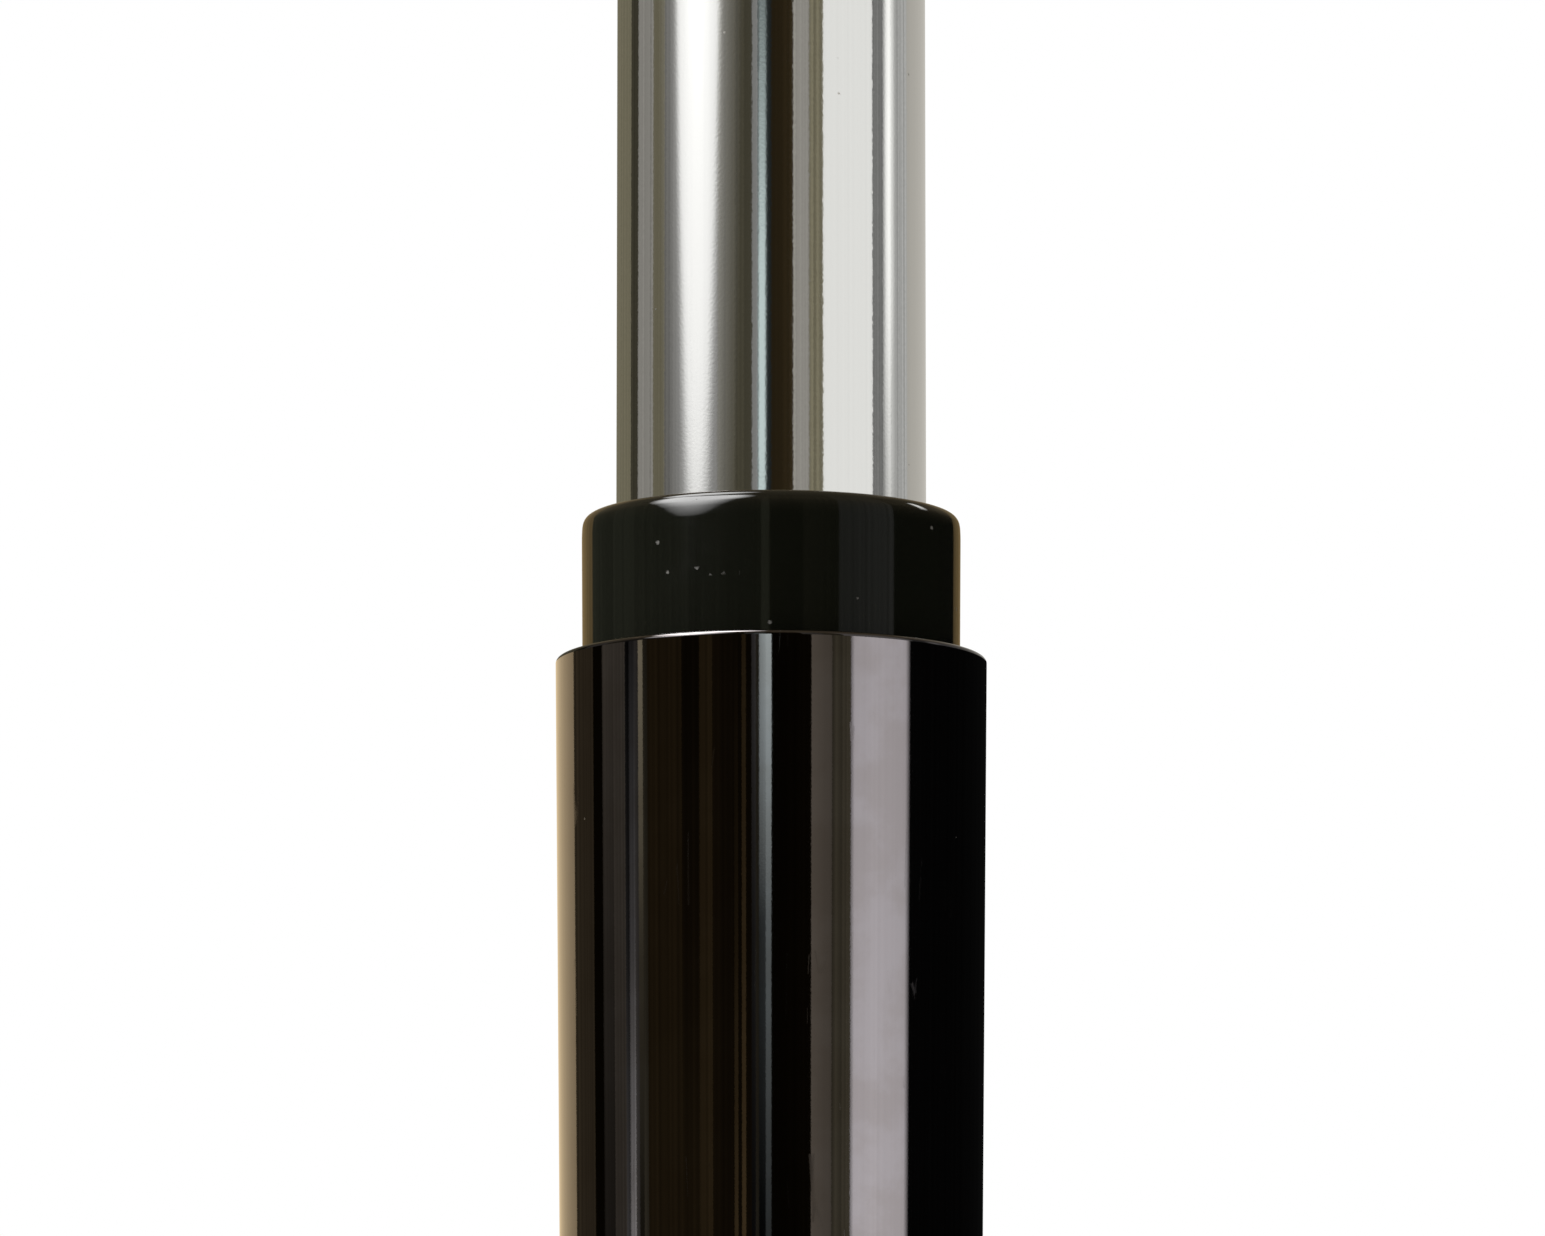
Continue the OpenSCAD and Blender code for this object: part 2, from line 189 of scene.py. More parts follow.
scratchSizes = {
    "stretch": (1.0, 1.0, 0.06),             # long lines up and down
    "patches": 90.0,                         # scale of the patches that have any
}


def buildScratches(s):
    group, given, mask = newGroup("fineScratches", "Mask", Scale=300.0, Width=0.02, Share=0.4)
    lines = noiseNode(group, stretch(group, given["Place"], s["stretch"]), given["Scale"], 1.0)
    offCentre = mathNode(group, "ABSOLUTE", mathNode(group, "SUBTRACT", lines, 0.5))
    away = mathNode(group, "DIVIDE", offCentre, given["Width"])
    thin = mathNode(group, "SUBTRACT", 1.0, away, clamp=True)
    patches = noiseNode(group, given["Place"], s["patches"])
    kept = mathNode(group, "LESS_THAN", patches, given["Share"])
    feed(group, mask, mathNode(group, "MULTIPLY", thin, kept))
    return group


turningSizes = {
    "stretch": (0.02, 0.02, 1.0),            # rings round the axis
    "coarseShare": 0.5,
}


def buildTurning(s):
    group, given, height = newGroup("turnedGrain", "Height", Fine=9000.0, Coarse=1200.0)
    flat = stretch(group, given["Place"], s["stretch"])
    fine = noiseNode(group, flat, given["Fine"])
    coarse = mathNode(group, "MULTIPLY", noiseNode(group, flat, given["Coarse"]), s["coarseShare"])
    feed(group, height, mathNode(group, "ADD", fine, coarse))
    return group


smearSizes = {
    "detail": 5.0,
    "roughness": 0.6,
    "fade": 0.22,                # a smear is full this far over its cut
}


def buildSmears(s):
    group, given, mask = newGroup("handlingSmears", "Mask", Scale=60.0, Cut=0.52)
    cloud = noiseNode(group, given["Place"], given["Scale"], s["detail"], s["roughness"])
    full = mathNode(group, "ADD", given["Cut"], s["fade"])
    feed(group, mask, rampNode(group, cloud, given["Cut"], full))
    return group


effects = {
    "dust": buildDust(dustSizes),
    "scratches": buildScratches(scratchSizes),
    "turning": buildTurning(turningSizes),
    "smears": buildSmears(smearSizes),
}
print("surface effects built:", ", ".join(effects))


class Finish:                                    # one material with its shader, tree and object coordinates
    def __init__(self, name, colour, metallic, roughness, specular=0.5):
        self.material = bpy.data.materials.new(name)
        self.material.use_nodes = True
        self.tree = self.material.node_tree
        self.shader = self.tree.nodes["Principled BSDF"]
        self.place = addNode(self.tree, "ShaderNodeTexCoord").outputs["Object"]
        self.colour = (*colour, 1.0)
        self.roughness = roughness
        self.shader.inputs["Base Color"].default_value = self.colour
        self.shader.inputs["Metallic"].default_value = metallic
        self.shader.inputs["Roughness"].default_value = roughness
        self.shader.inputs["Specular IOR Level"].default_value = specular

    def effect(self, name, **values):
        values["Place"] = self.place
        return addNode(self.tree, "ShaderNodeGroup", values, node_tree=effects[name]).outputs[0]

    def noise(self, scale, detail=2.0, factors=None):
        place = stretch(self.tree, self.place, factors) if factors else self.place
        return noiseNode(self.tree, place, scale, detail)

    def maths(self, operation, *values, clamp=False):
        return mathNode(self.tree, operation, *values, clamp=clamp)

    def along(self, axis):
        return addNode(self.tree, "ShaderNodeSeparateXYZ", {0: self.place}).outputs[axis]

    def band(self, axis, low, high, soft):       # 1 between two places along an axis
        up = rampNode(self.tree, self.along(axis), low - soft, low + soft)
        down = rampNode(self.tree, self.along(axis), high + soft, high - soft)
        return self.maths("MULTIPLY", up, down)

    def inFront(self):                           # 1 on the camera's side
        return self.maths("LESS_THAN", self.along("Y"), 0.0)

    def tint(self, share, colour):               # lays a second colour over the first where share is 1
        base = self.shader.inputs["Base Color"]
        under = base.links[0].from_socket if base.links else self.colour
        feed(self.tree, base, mixColour(self.tree, share, under, (*colour, 1.0)))

    def roughen(self, *amounts):                 # adds each (value, weight) to the plain roughness
        total = self.roughness
        for value, weight in amounts:
            total = self.maths("ADD", self.maths("MULTIPLY", value, weight), total, clamp=True)
        feed(self.tree, self.shader.inputs["Roughness"], total)

    def bump(self, height, depth):               # depth for a height of 1
        before = self.shader.inputs["Normal"]
        fed = {"Strength": 1.0, "Distance": depth, "Height": height}
        if before.links:
            fed["Normal"] = before.links[0].from_socket
        feed(self.tree, before, addNode(self.tree, "ShaderNodeBump", fed).outputs["Normal"])


# finishes, one function each
def blackChrome():
    f = Finish("blackChrome", (0.060, 0.055, 0.055), 1.0, 0.035)
    dust = f.effect("dust", Spacing=330.0, Share=0.06, Size=0.08)
    smears = f.effect("smears", Scale=45.0, Cut=0.55)
    clouds = f.effect("smears", Scale=110.0, Cut=0.40)
    scratches = f.effect("scratches", Scale=260.0, Width=0.012, Share=0.40)
    f.tint(clouds, (0.066, 0.0615, 0.063))                       # faint, in the plating
    f.tint(dust, (0.20, 0.19, 0.17))
    f.roughen((dust, 0.4), (smears, 0.03), (scratches, 0.12))
    f.bump(f.noise(55.0, 1.0, (1.0, 1.0, 0.35)), 0.018 * mm)     # slow unevenness of the plating
    f.bump(f.noise(5200.0), 0.0007 * mm)
    return f.material


scuffSizes = {                   # a row of scuffs on the front of the collar
    "low": 9.8 * mm,             # both below its top
    "high": 8.9 * mm,
    "left": -12.5 * mm,
    "right": -2.5 * mm,
    "soft": 0.2 * mm,
    "sideSoft": 0.5 * mm,
}


def blackPlastic(s):
    f = Finish("blackPlastic", (0.0030, 0.0032, 0.0020), 0.0, 0.06, 0.36)
    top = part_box("guide_bush")[1].z
    dust = f.effect("dust", Spacing=700.0, Share=0.07, Size=0.25)
    row = f.band("Z", top - s["low"], top - s["high"], s["soft"])
    row = f.maths("MULTIPLY", row, f.band("X", s["left"], s["right"], s["sideSoft"]))
    row = f.maths("MULTIPLY", row, f.inFront())
    scuffs = f.maths("MULTIPLY", row, f.effect("dust", Spacing=800.0, Share=0.8, Size=0.42))
    marks = f.maths("MAXIMUM", dust, scuffs)
    smears = f.effect("smears", Scale=70.0, Cut=0.52)
    scratches = f.effect("scratches", Scale=320.0, Width=0.015, Share=0.42)
    f.tint(marks, (0.055, 0.052, 0.046))
    f.roughen((marks, 0.4), (smears, 0.03), (scratches, 0.03))
    f.bump(f.noise(700.0), 0.0025 * mm)
    return f.material


coneSizes = {                    # the seat cone is ground, not polished
    "high": 46 * mm,             # below the top of the chrome tube
    "past": 5 * mm,              # and the grinding runs out this far over it
    "soft": 0.6 * mm,
}


def polishedChrome(s):
    f = Finish("polishedChrome", (0.800, 0.800, 0.785), 1.0, 0.04)
    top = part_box("pressure_tube")[1].z
    cone = f.band("Z", top - s["high"], top + s["past"], s["soft"])
    grain = f.effect("turning", Fine=9000.0, Coarse=1500.0)
    dust = f.effect("dust", Spacing=380.0, Share=0.10, Size=0.11)
    f.tint(dust, (0.50, 0.49, 0.46))
    f.roughen((dust, 0.4), (cone, 0.20), (grain, 0.02))
    f.bump(f.noise(70.0, 1.0, (1.0, 1.0, 0.3)), 0.010 * mm)      # slow waves of the grinding
    f.bump(f.noise(3000.0), 0.0024 * mm)                         # grain of the plating
    f.bump(f.maths("MULTIPLY", grain, cone), 0.010 * mm)
    return f.material


def metalFinish(name, colour, roughness, grainDepth, grainRough=0.12, smeared=0.82):
    f = Finish(name, colour, 1.0, roughness)
    grain = f.effect("turning", Fine=7000.0, Coarse=1100.0)
    smears = f.effect("smears", Scale=120.0, Cut=0.50)
    f.tint(smears, tuple(smeared * part for part in colour))
    f.roughen((grain, grainRough), (smears, 0.08))
    f.bump(grain, grainDepth)
    return f.material


def naturalNylon():
    f = Finish("naturalNylon", (0.72, 0.69, 0.60), 0.0, 0.42)
    f.tint(f.effect("smears", Scale=150.0, Cut=0.48), (0.62, 0.58, 0.47))
    f.roughen((f.noise(1500.0), 0.12))
    f.bump(f.noise(2200.0), 0.012 * mm)
    return f.material


def mattRubber():
    f = Finish("mattRubber", (0.030, 0.030, 0.030), 0.0, 0.62, 0.35)
    f.tint(f.effect("dust", Spacing=700.0, Share=0.25, Size=0.20), (0.075, 0.072, 0.068))
    f.roughen((f.noise(1800.0), 0.2))
    f.bump(f.noise(3000.0, 3.0), 0.020 * mm)
    return f.material


finishes = {
    "black_chrome": blackChrome(),
    "black_plastic": blackPlastic(scuffSizes),
    "chrome": polishedChrome(coneSizes),
    "hard_chrome": metalFinish("hardChrome", (0.72, 0.72, 0.71), 0.08, 0.004 * mm, 0.05),
    "zinc_steel": metalFinish("zincSteel", (0.60, 0.60, 0.58), 0.24, 0.016 * mm),
    "bearing_steel": metalFinish("bearingSteel", (0.56, 0.56, 0.56), 0.12, 0.006 * mm, 0.08),
    "spring_steel": metalFinish("springSteel", (0.16, 0.15, 0.15), 0.32, 0.012 * mm),
    "drawn_steel": metalFinish("drawnSteel", (0.42, 0.42, 0.42), 0.22, 0.012 * mm),
    "aluminium": metalFinish("turnedAluminium", (0.66, 0.67, 0.68), 0.26, 0.020 * mm),
    "nylon": naturalNylon(),
    "rubber": mattRubber(),
}
slotOf = {part["node"]: part["material_slot"] for part in frame["record"]["subparts"]}
for nodeName, cadObject in frame["nodes"].items():
    for holder in cadObject.material_slots:
        holder.material = finishes[slotOf[nodeName]]
print("finishes made:", len(finishes))


# turned pieces: an outline in radius and height, spun by a Geometry Nodes lathe
latheSizes = {
    "segments": 192,
    "weld": 0.0005 * mm,
    "guard": 0.12 * mm,          # rows this near to the corners keep reflections straight
    "guardedFrom": 6,            # shorter walls than this many guards have none
    "longest": 9 * mm,           # between two rows
}


def arcOf(centreR, centreZ, radius, fromDeg, toDeg, steps=14):
    turns = [math.radians(fromDeg + (toDeg - fromDeg) * i / steps) for i in range(steps + 1)]
    return [(centreR + radius * math.cos(a), centreZ + radius * math.sin(a)) for a in turns]


def withGuards(outline, s):
    rows = []
    for (r0, z0), (r1, z1) in zip(outline, outline[1:]):
        span = math.hypot(r1 - r0, z1 - z0)
        shares = [0.0]
        if span > s["guardedFrom"] * s["guard"]:
            steps = max(1, round(span / s["longest"]))
            inset = s["guard"] / span
            shares += [inset] + [i / steps for i in range(1, steps)] + [1 - inset]
        rows += [(r0 + (r1 - r0) * t, z0 + (z1 - z0) * t) for t in shares]
    return rows + [outline[-1]]


def newShapeTree(name, output, **inputs):        # inputs: each socket's name and kind
    tree = bpy.data.node_groups.new(name, "GeometryNodeTree")
    for socketName, kind in inputs.items():
        tree.interface.new_socket(socketName, in_out="INPUT", socket_type="NodeSocket" + kind)
    tree.interface.new_socket(output, in_out="OUTPUT", socket_type="NodeSocketGeometry")
    return tree, addNode(tree, "NodeGroupInput").outputs


def endShapeTree(tree, shape, finish):           # makes copies real and paints them
    real = addNode(tree, "GeometryNodeRealizeInstances", {"Geometry": shape}).outputs["Geometry"]
    paint = addNode(tree, "GeometryNodeSetMaterial", {"Geometry": real, "Material": finish})
    addNode(tree, "NodeGroupOutput", {0: paint.outputs["Geometry"]})
    return tree


def buildLathe():
    kinds = {"Outline": "Geometry", "Segments": "Int", "Weld": "Float", "Finish": "Material"}
    tree, given = newShapeTree("turnOnLathe", "Turned", **kinds)
    count = addNode(tree, "GeometryNodeAttributeDomainSize", {"Geometry": given["Outline"]})
    rows = count.outputs["Point Count"]
    columns = mathNode(tree, "ADD", given["Segments"], 1.0)
    size = {"Size X": 1.0, "Size Y": 1.0, "Vertices X": columns, "Vertices Y": rows}
    grid = addNode(tree, "GeometryNodeMeshGrid", size)
    position = addNode(tree, "GeometryNodeInputPosition").outputs[0]
    where = addNode(tree, "ShaderNodeSeparateXYZ", {0: position}).outputs
    turn = mathNode(tree, "MULTIPLY", mathNode(tree, "ADD", where["X"], 0.5), 2 * math.pi)
    along = mathNode(tree, "ADD", where["Y"], 0.5)
    last = mathNode(tree, "SUBTRACT", rows, 1.0)
    row = mathNode(tree, "ROUND", mathNode(tree, "MULTIPLY", along, last))
    fed = {"Geometry": given["Outline"], "Value": position, "Index": row}
    sample = addNode(tree, "GeometryNodeSampleIndex", fed, data_type="FLOAT_VECTOR", domain="POINT")
    point = addNode(tree, "ShaderNodeSeparateXYZ", {0: sample.outputs[0]}).outputs
    x = mathNode(tree, "MULTIPLY", point["X"], mathNode(tree, "COSINE", turn))
    y = mathNode(tree, "MULTIPLY", point["X"], mathNode(tree, "SINE", turn))
    spun = addNode(tree, "ShaderNodeCombineXYZ", {"X": x, "Y": y, "Z": point["Z"]}).outputs[0]
    fed = {"Geometry": grid.outputs["Mesh"], "Position": spun}
    place = addNode(tree, "GeometryNodeSetPosition", fed)
    fed = {"Geometry": place.outputs["Geometry"], "Distance": given["Weld"]}
    weld = addNode(tree, "GeometryNodeMergeByDistance", fed)
    return endShapeTree(tree, weld.outputs["Geometry"], given["Finish"])


def bakeNodes(name, mesh, tree, settings):       # runs a tree on a mesh and keeps the plain result
    carrier = bpy.data.objects.new(name + "Source", mesh)
    scene.collection.objects.link(carrier)
    modifier = carrier.modifiers.new("make", "NODES")
    modifier.node_group = tree
    keys = {item.name: item.identifier for item in tree.interface.items_tree if item.in_out == "INPUT"}
    for key, value in settings.items():
        modifier[keys[key]] = value
    graph = bpy.context.evaluated_depsgraph_get()
    result = bpy.data.meshes.new_from_object(carrier.evaluated_get(graph))
    bpy.data.objects.remove(carrier)
    result.name = name
    return result


def smoothOutside(mesh, sharpDeg=30, weld=1e-7, thinnest=1e-8):  # faces out, smooth, with sharp corners kept
    shape = bmesh.new()
    shape.from_mesh(mesh)
    bmesh.ops.remove_doubles(shape, verts=shape.verts, dist=weld)
    bmesh.ops.dissolve_degenerate(shape, edges=shape.edges, dist=thinnest)
    bmesh.ops.recalc_face_normals(shape, faces=shape.faces)
    shape.to_mesh(mesh)
    shape.free()
    mesh.polygons.foreach_set("use_smooth", [True] * len(mesh.polygons))
    mesh.set_sharp_from_angle(angle=math.radians(sharpDeg))


def addPiece(mesh, name, node):                  # shows a finished mesh in place of a CAD node
    piece = bpy.data.objects.new(name, mesh)
    scene.collection.objects.link(piece)
    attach(piece, frame["nodes"][node]["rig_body"])
    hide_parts(node)
    return piece


latheTree = buildLathe()


def turnPiece(name, node, outline, segments=latheSizes["segments"]):
    mesh = bpy.data.meshes.new(name + "Outline")
    mesh.from_pydata([(r, 0, z) for r, z in withGuards(outline, latheSizes)], [], [])
    settings = {"Segments": segments, "Weld": latheSizes["weld"], "Finish": finishes[slotOf[node]]}
    turned = bakeNodes(name, mesh, latheTree, settings)
    smoothOutside(turned)
    return addPiece(turned, name, node)


standTubeSizes = {
    "taper": 0.55,               # degrees on each side
    "rimRound": 0.5 * mm,
    "footRound": 1.0 * mm,
    "footWall": 2.3 * mm,
    "lip": (1.3 * mm, 1.5 * mm),             # how far it turns in, and how thick
    "mouthBevel": 0.6 * mm,
    "cupTop": 16 * mm,
    "seatBelowBush": 3 * mm,
    "seatGap": 0.05 * mm,
    "bushDraft": 0.2 * mm,       # the bush is this much slimmer in here than at its collar
}


def makeStandTube(s):
    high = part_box("stand_tube")[1]
    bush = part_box("guide_bush")
    height = high.z
    seat = bush[1].x - s["bushDraft"] + s["seatGap"]
    foot = high.x - height * math.tan(math.radians(s["taper"]))
    bore = foot - s["footWall"]
    lipIn, lipHigh = s["lip"]
    outline = [(bore - lipIn, 0)]
    outline += arcOf(foot - s["footRound"], s["footRound"], s["footRound"], -90, 0)
    outline += arcOf(high.x - s["rimRound"], height - s["rimRound"], s["rimRound"], 0, 90)
    outline += [(seat + s["mouthBevel"], height), (seat, height - s["mouthBevel"])]
    outline += [(seat, bush[0].z - s["seatBelowBush"]), (bore, s["cupTop"])]
    outline += [(bore, lipHigh), (bore - lipIn, lipHigh), (bore - lipIn, 0)]
    return turnPiece("standTube", "stand_tube", outline)


guideBushSizes = {
    "draft": standTubeSizes["bushDraft"],
    "step": 0.1 * mm,            # the collar sits over the pressed sleeve by this much
    "edgeArcs": (                # each radius, and the turn that it ends at
        (26 * mm, 2.5),
        (9 * mm, 6),
        (1.9 * mm, 22),
        (1.1 * mm, 90),
    ),
    "running": 0.1 * mm,
    "bevel": 0.8 * mm,
    "landHigh": 30 * mm,
    "relief": 0.5 * mm,
    "grooveGap": 0.05 * mm,
}


def softEdge(wallR, topZ, arcs):                 # leans in slowly, then rolls over to a flat top
    rises = [math.sin(math.radians(turn)) for radius, turn in arcs]
    steps = zip(arcs, rises, [0.0] + rises)
    high = sum(radius * (rise - before) for (radius, turn), rise, before in steps)
    edge, start = [(wallR, topZ - high)], 0.0
    for radius, turn in arcs:
        a = math.radians(start)
        r, z = edge[-1]
        edge += arcOf(r - radius * math.cos(a), z - radius * math.sin(a), radius, start, turn)[1:]
        start = turn
    return edge


def makeGuideBush(s):
    low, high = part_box("guide_bush")
    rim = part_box("stand_tube")[1].z
    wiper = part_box("wiper_ring")
    groove = wiper[1].x + s["grooveGap"]
    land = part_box("pressure_tube")[1].x + s["running"]
    body = high.x - s["draft"]
    upper, lower = high.z - s["landHigh"], low.z + s["landHigh"]
    outline = [(land + s["bevel"], low.z), (body - s["bevel"], low.z), (body, low.z + s["bevel"])]
    outline += [(body, rim - s["step"]), (body + s["step"], rim)]
    outline += softEdge(high.x, high.z, s["edgeArcs"])
    outline += [(land + s["bevel"] / 2, high.z), (land, high.z - s["bevel"] / 2), (land, wiper[1].z)]
    outline += [(groove, wiper[1].z), (groove, wiper[0].z), (land, wiper[0].z), (land, upper)]
    outline += [(land + s["relief"], upper - s["relief"]), (land + s["relief"], lower + s["relief"])]
    outline += [(land, lower), (land, low.z + s["bevel"]), (land + s["bevel"], low.z)]
    return turnPiece("guideBush", "guide_bush", outline)


pressureTubeSizes = {
    "wall": 2.0 * mm,
    "endRound": 1.0 * mm,
    "lip": (3.5 * mm, 1.5 * mm),
    "coneHigh": coneSizes["high"],
    "coneBase": 14.25 * mm,      # radius
    "coneSlope": 1.438,          # degrees on each side
    "neckHigh": 6 * mm,
    "shoulderTurn": 72,          # degrees that the shoulder under the neck turns through
    "boreBelowNeck": 1 * mm,     # the bore starts to narrow this far below it
    "fillet": 0.8 * mm,
    "curl": 2.0 * mm,
    "mouth": 9 * mm,
}


def makePressureTube(s):
    low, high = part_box("pressure_tube")
    bore = high.x - s["wall"]
    lipIn, lipHigh = s["lip"]
    base = s["coneBase"]
    coneLow = high.z - s["coneHigh"]
    neckLow = coneLow - s["neckHigh"]
    coneTop = base - s["coneHigh"] * math.tan(math.radians(s["coneSlope"]))
    shoulder = s["neckHigh"] / 2
    inside = high.z - s["wall"]
    outline = [(bore - lipIn, low.z)]
    outline += arcOf(high.x - s["endRound"], low.z + s["endRound"], s["endRound"], -90, 0)
    outline += arcOf(high.x - shoulder, neckLow, shoulder, 0, s["shoulderTurn"])
    outline += [(base + s["fillet"], coneLow - s["fillet"]), (base, coneLow + s["fillet"])]
    outline += arcOf(coneTop - s["curl"], high.z - s["curl"], s["curl"], 0, 90)
    outline += [(s["mouth"], high.z), (s["mouth"], inside), (coneTop - s["wall"], inside)]
    outline += [(base - s["wall"], coneLow), (bore, neckLow - s["boreBelowNeck"])]
    outline += [(bore, low.z + lipHigh), (bore - lipIn, low.z + lipHigh), (bore - lipIn, low.z)]
    return turnPiece("pressureTube", "pressure_tube", outline)


releaseButtonSizes = {
    "radius": 6.0 * mm,
    "crown": 1.2 * mm,
    "flangeHigh": 3.8 * mm,
    "segments": 96,
}


def makeReleaseButton(s):
    low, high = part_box("release_button")
    shoulder = low.z + s["flangeHigh"]
    outline = [(0, low.z), (high.x, low.z), (high.x, shoulder), (s["radius"], shoulder)]
    outline += arcOf(s["radius"] - s["crown"], high.z - s["crown"], s["crown"], 0, 90)
    outline += [(0, high.z)]
    return turnPiece("releaseButton", "release_button", outline, s["segments"])


standTube = makeStandTube(standTubeSizes)
guideBush = makeGuideBush(guideBushSizes)
makePressureTube(pressureTubeSizes)
makeReleaseButton(releaseButtonSizes)
print("turned pieces made")


# bearing balls: one ball copied round the pitch circle
ballSizes = {"Count": 10, "Radius": 2.5 * mm, "Pitch": 9.5 * mm, "Rings": 20, "Segments": 32}


def buildBallRing():
    kinds = {"Start": "Geometry", "Count": "Int", "Radius": "Float", "Pitch": "Float", "Height": "Float"}
    kinds.update({"Rings": "Int", "Segments": "Int", "Finish": "Material"})
    tree, given = newShapeTree("ringOfBalls", "Balls", **kinds)
    circle = addNode(tree, "GeometryNodeMeshCircle", {"Vertices": given["Count"], "Radius": given["Pitch"]})
    size = {name: given[name] for name in ("Rings", "Segments", "Radius")}
    ball = addNode(tree, "GeometryNodeMeshUVSphere", size)
    fed = {"Points": circle.outputs["Mesh"], "Instance": ball.outputs["Mesh"]}
    copies = addNode(tree, "GeometryNodeInstanceOnPoints", fed)
    lift = addNode(tree, "ShaderNodeCombineXYZ", {"Z": given["Height"]})
    fed = {"Geometry": copies.outputs["Instances"], "Translation": lift.outputs[0]}
    raised = addNode(tree, "GeometryNodeTransform", fed)
    return endShapeTree(tree, raised.outputs["Geometry"], given["Finish"])


def makeBalls(s):
    low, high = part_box("bearing_balls")
    settings = {**s, "Height": (low.z + high.z) / 2, "Finish": finishes[slotOf["bearing_balls"]]}
    mesh = bakeNodes("bearingBalls", bpy.data.meshes.new("ballStart"), buildBallRing(), settings)
    smoothOutside(mesh)
    return addPiece(mesh, "bearingBalls", "bearing_balls")


makeBalls(ballSizes)
print("bearing balls made")


# studio: pale floor, soft lamps, and cards that only reflections see
floorSizes = {
    "half": 12.0,
    "drop": 0.2 * mm,
    "colour": (0.92, 0.92, 0.91),
    "smeared": 0.98,             # its smears are this much darker
    "shadedTo": 0.20,            # shadow and shading are kept this far from the foot
    "whiteFrom": 1.50,           # plain white from here on
}


def seenDirectly(tree):                          # 1 for what the camera, a mirror or glass looks at
    path = addNode(tree, "ShaderNodeLightPath").outputs
    seen = mathNode(tree, "MAXIMUM", path["Is Camera Ray"], path["Is Glossy Ray"])
    return mathNode(tree, "MAXIMUM", seen, path["Is Transmission Ray"])


def whitenFar(f, s):                             # the floor runs out into the white background
    away = addNode(f.tree, "ShaderNodeVectorMath", {0: f.place}, operation="LENGTH")
    far = rampNode(f.tree, away.outputs["Value"], s["shadedTo"], s["whiteFrom"])
    share = f.maths("MULTIPLY", far, seenDirectly(f.tree))
    white = addNode(f.tree, "ShaderNodeEmission", {"Strength": 1.0})
    fed = {0: share, 1: f.shader.outputs[0], 2: white.outputs[0]}
    both = addNode(f.tree, "ShaderNodeMixShader", fed)
    feed(f.tree, f.tree.nodes["Material Output"].inputs["Surface"], both.outputs[0])


def makeFloor(s):
    mesh = bpy.data.meshes.new("studioFloor")
    h = s["half"]
    mesh.from_pydata([(-h, -h, 0), (h, -h, 0), (h, h, 0), (-h, h, 0)], [], [(0, 1, 2, 3)])
    mesh.transform(Matrix.Translation((0, 0, cadBox[0].z - s["drop"])))
    f = Finish("paleFloor", s["colour"], 0.0, 0.9, 0.0)
    f.tint(f.effect("smears", Scale=3.0, Cut=0.45), tuple(s["smeared"] * part for part in s["colour"]))
    whitenFar(f, s)
    mesh.materials.append(f.material)
    floor = bpy.data.objects.new("studioFloor", mesh)
    scene.collection.objects.link(floor)


cardSizes = {
    "skirtRing": 0.665,          # how far each ring of cards stands from the axis
    "nearRing": 0.67,
    "gleamRing": 0.695,
    "farRing": 0.70,
    "collarRing": 0.71,
    "skirtFrom": 0.05,           # the skirt lies on the floor from here
    "skirtFull": 0.22,           # and covers it from here outwards
    "skirtHigh": 0.04,           # it stands up this far, then clears
    "skirtTo": 0.215,
    "gleamFull": 0.22,           # for the chrome it stands up higher
    "gleamTo": 0.325,
    "lift": 0.3 * mm,
    "lowFrom": 0.225,            # the low cards change from here, by even steps, to lowTo
    "lowMid": 0.277,
    "lowTo": 0.3295,
    "lowTop": 0.352,             # the black tube's wall sees no higher
    "highFrom": 0.354,           # and its rim sees the high cards from here
    "upperFrom": 0.50,           # above this they turn brown towards the ceiling
    "upperTo": 0.80,
    "collarUpper": (0.385, 0.60),            # the same for the collar's own cards
    "top": 1.10,
    "upperGlow": (0.31, 0.25, 0.16),
    "upperShare": 0.4,
    "columnDeg": 2.0,
    "streaks": 0.25,             # how uneven a dark card is from side to side
    "plainFrom": 0.6,            # cards this bright are nearly even
    "plainStreaks": 0.025,
}
cardTints = {
    "neutral": (1.00, 1.00, 0.98),
    "warm": (1.00, 0.96, 0.88),
    "olive": (1.00, 0.91, 0.62),
    "brown": (1.00, 0.70, 0.32),
    "umber": (1.00, 0.77, 0.47),
    "clay": (1.00, 0.89, 0.71),
    "cool": (0.82, 0.97, 0.97),
    "lilac": (1.00, 0.99, 1.01),
    "moss": (0.96, 1.00, 0.72),
}
# each card: start and end in degrees from the camera's side towards +X, tint, light at each end,
# and the share of it that is left low down
highCards = [                    # the chrome tube and the black tube's rim see these
    (-180, -128, "olive", 0.175, 0.170),
    (-128, -117, "olive", 0.045, 0.045),
    (-117, -98, "warm", 0.25, 0.26),
    (-98, -86, "olive", 0.14, 0.15),
    (-86, -40, "warm", 0.10, 0.085),
    (-40, -14, "olive", 0.085, 0.055),
    (-14, -10, "neutral", 0.22, 0.24),
    (-10, -3.5, "cool", 0.07, 0.06),             # the tall strip stands in front of this one
    (-3.5, 0, "cool", 0.03, 0.02),
    (0, 16, "brown", 0.016, 0.032),
    (16, 28, "warm", 0.32, 0.31),
    (28, 38.5, "olive", 0.20, 0.19),
    (38.5, 80.4, "neutral", 0.89, 0.90),         # widest pale card
    (80.4, 96, "neutral", 0.19, 0.20),
    (96, 121, "neutral", 0.38, 0.43),
    (121, 180, "warm", 0.45, 0.60),
]
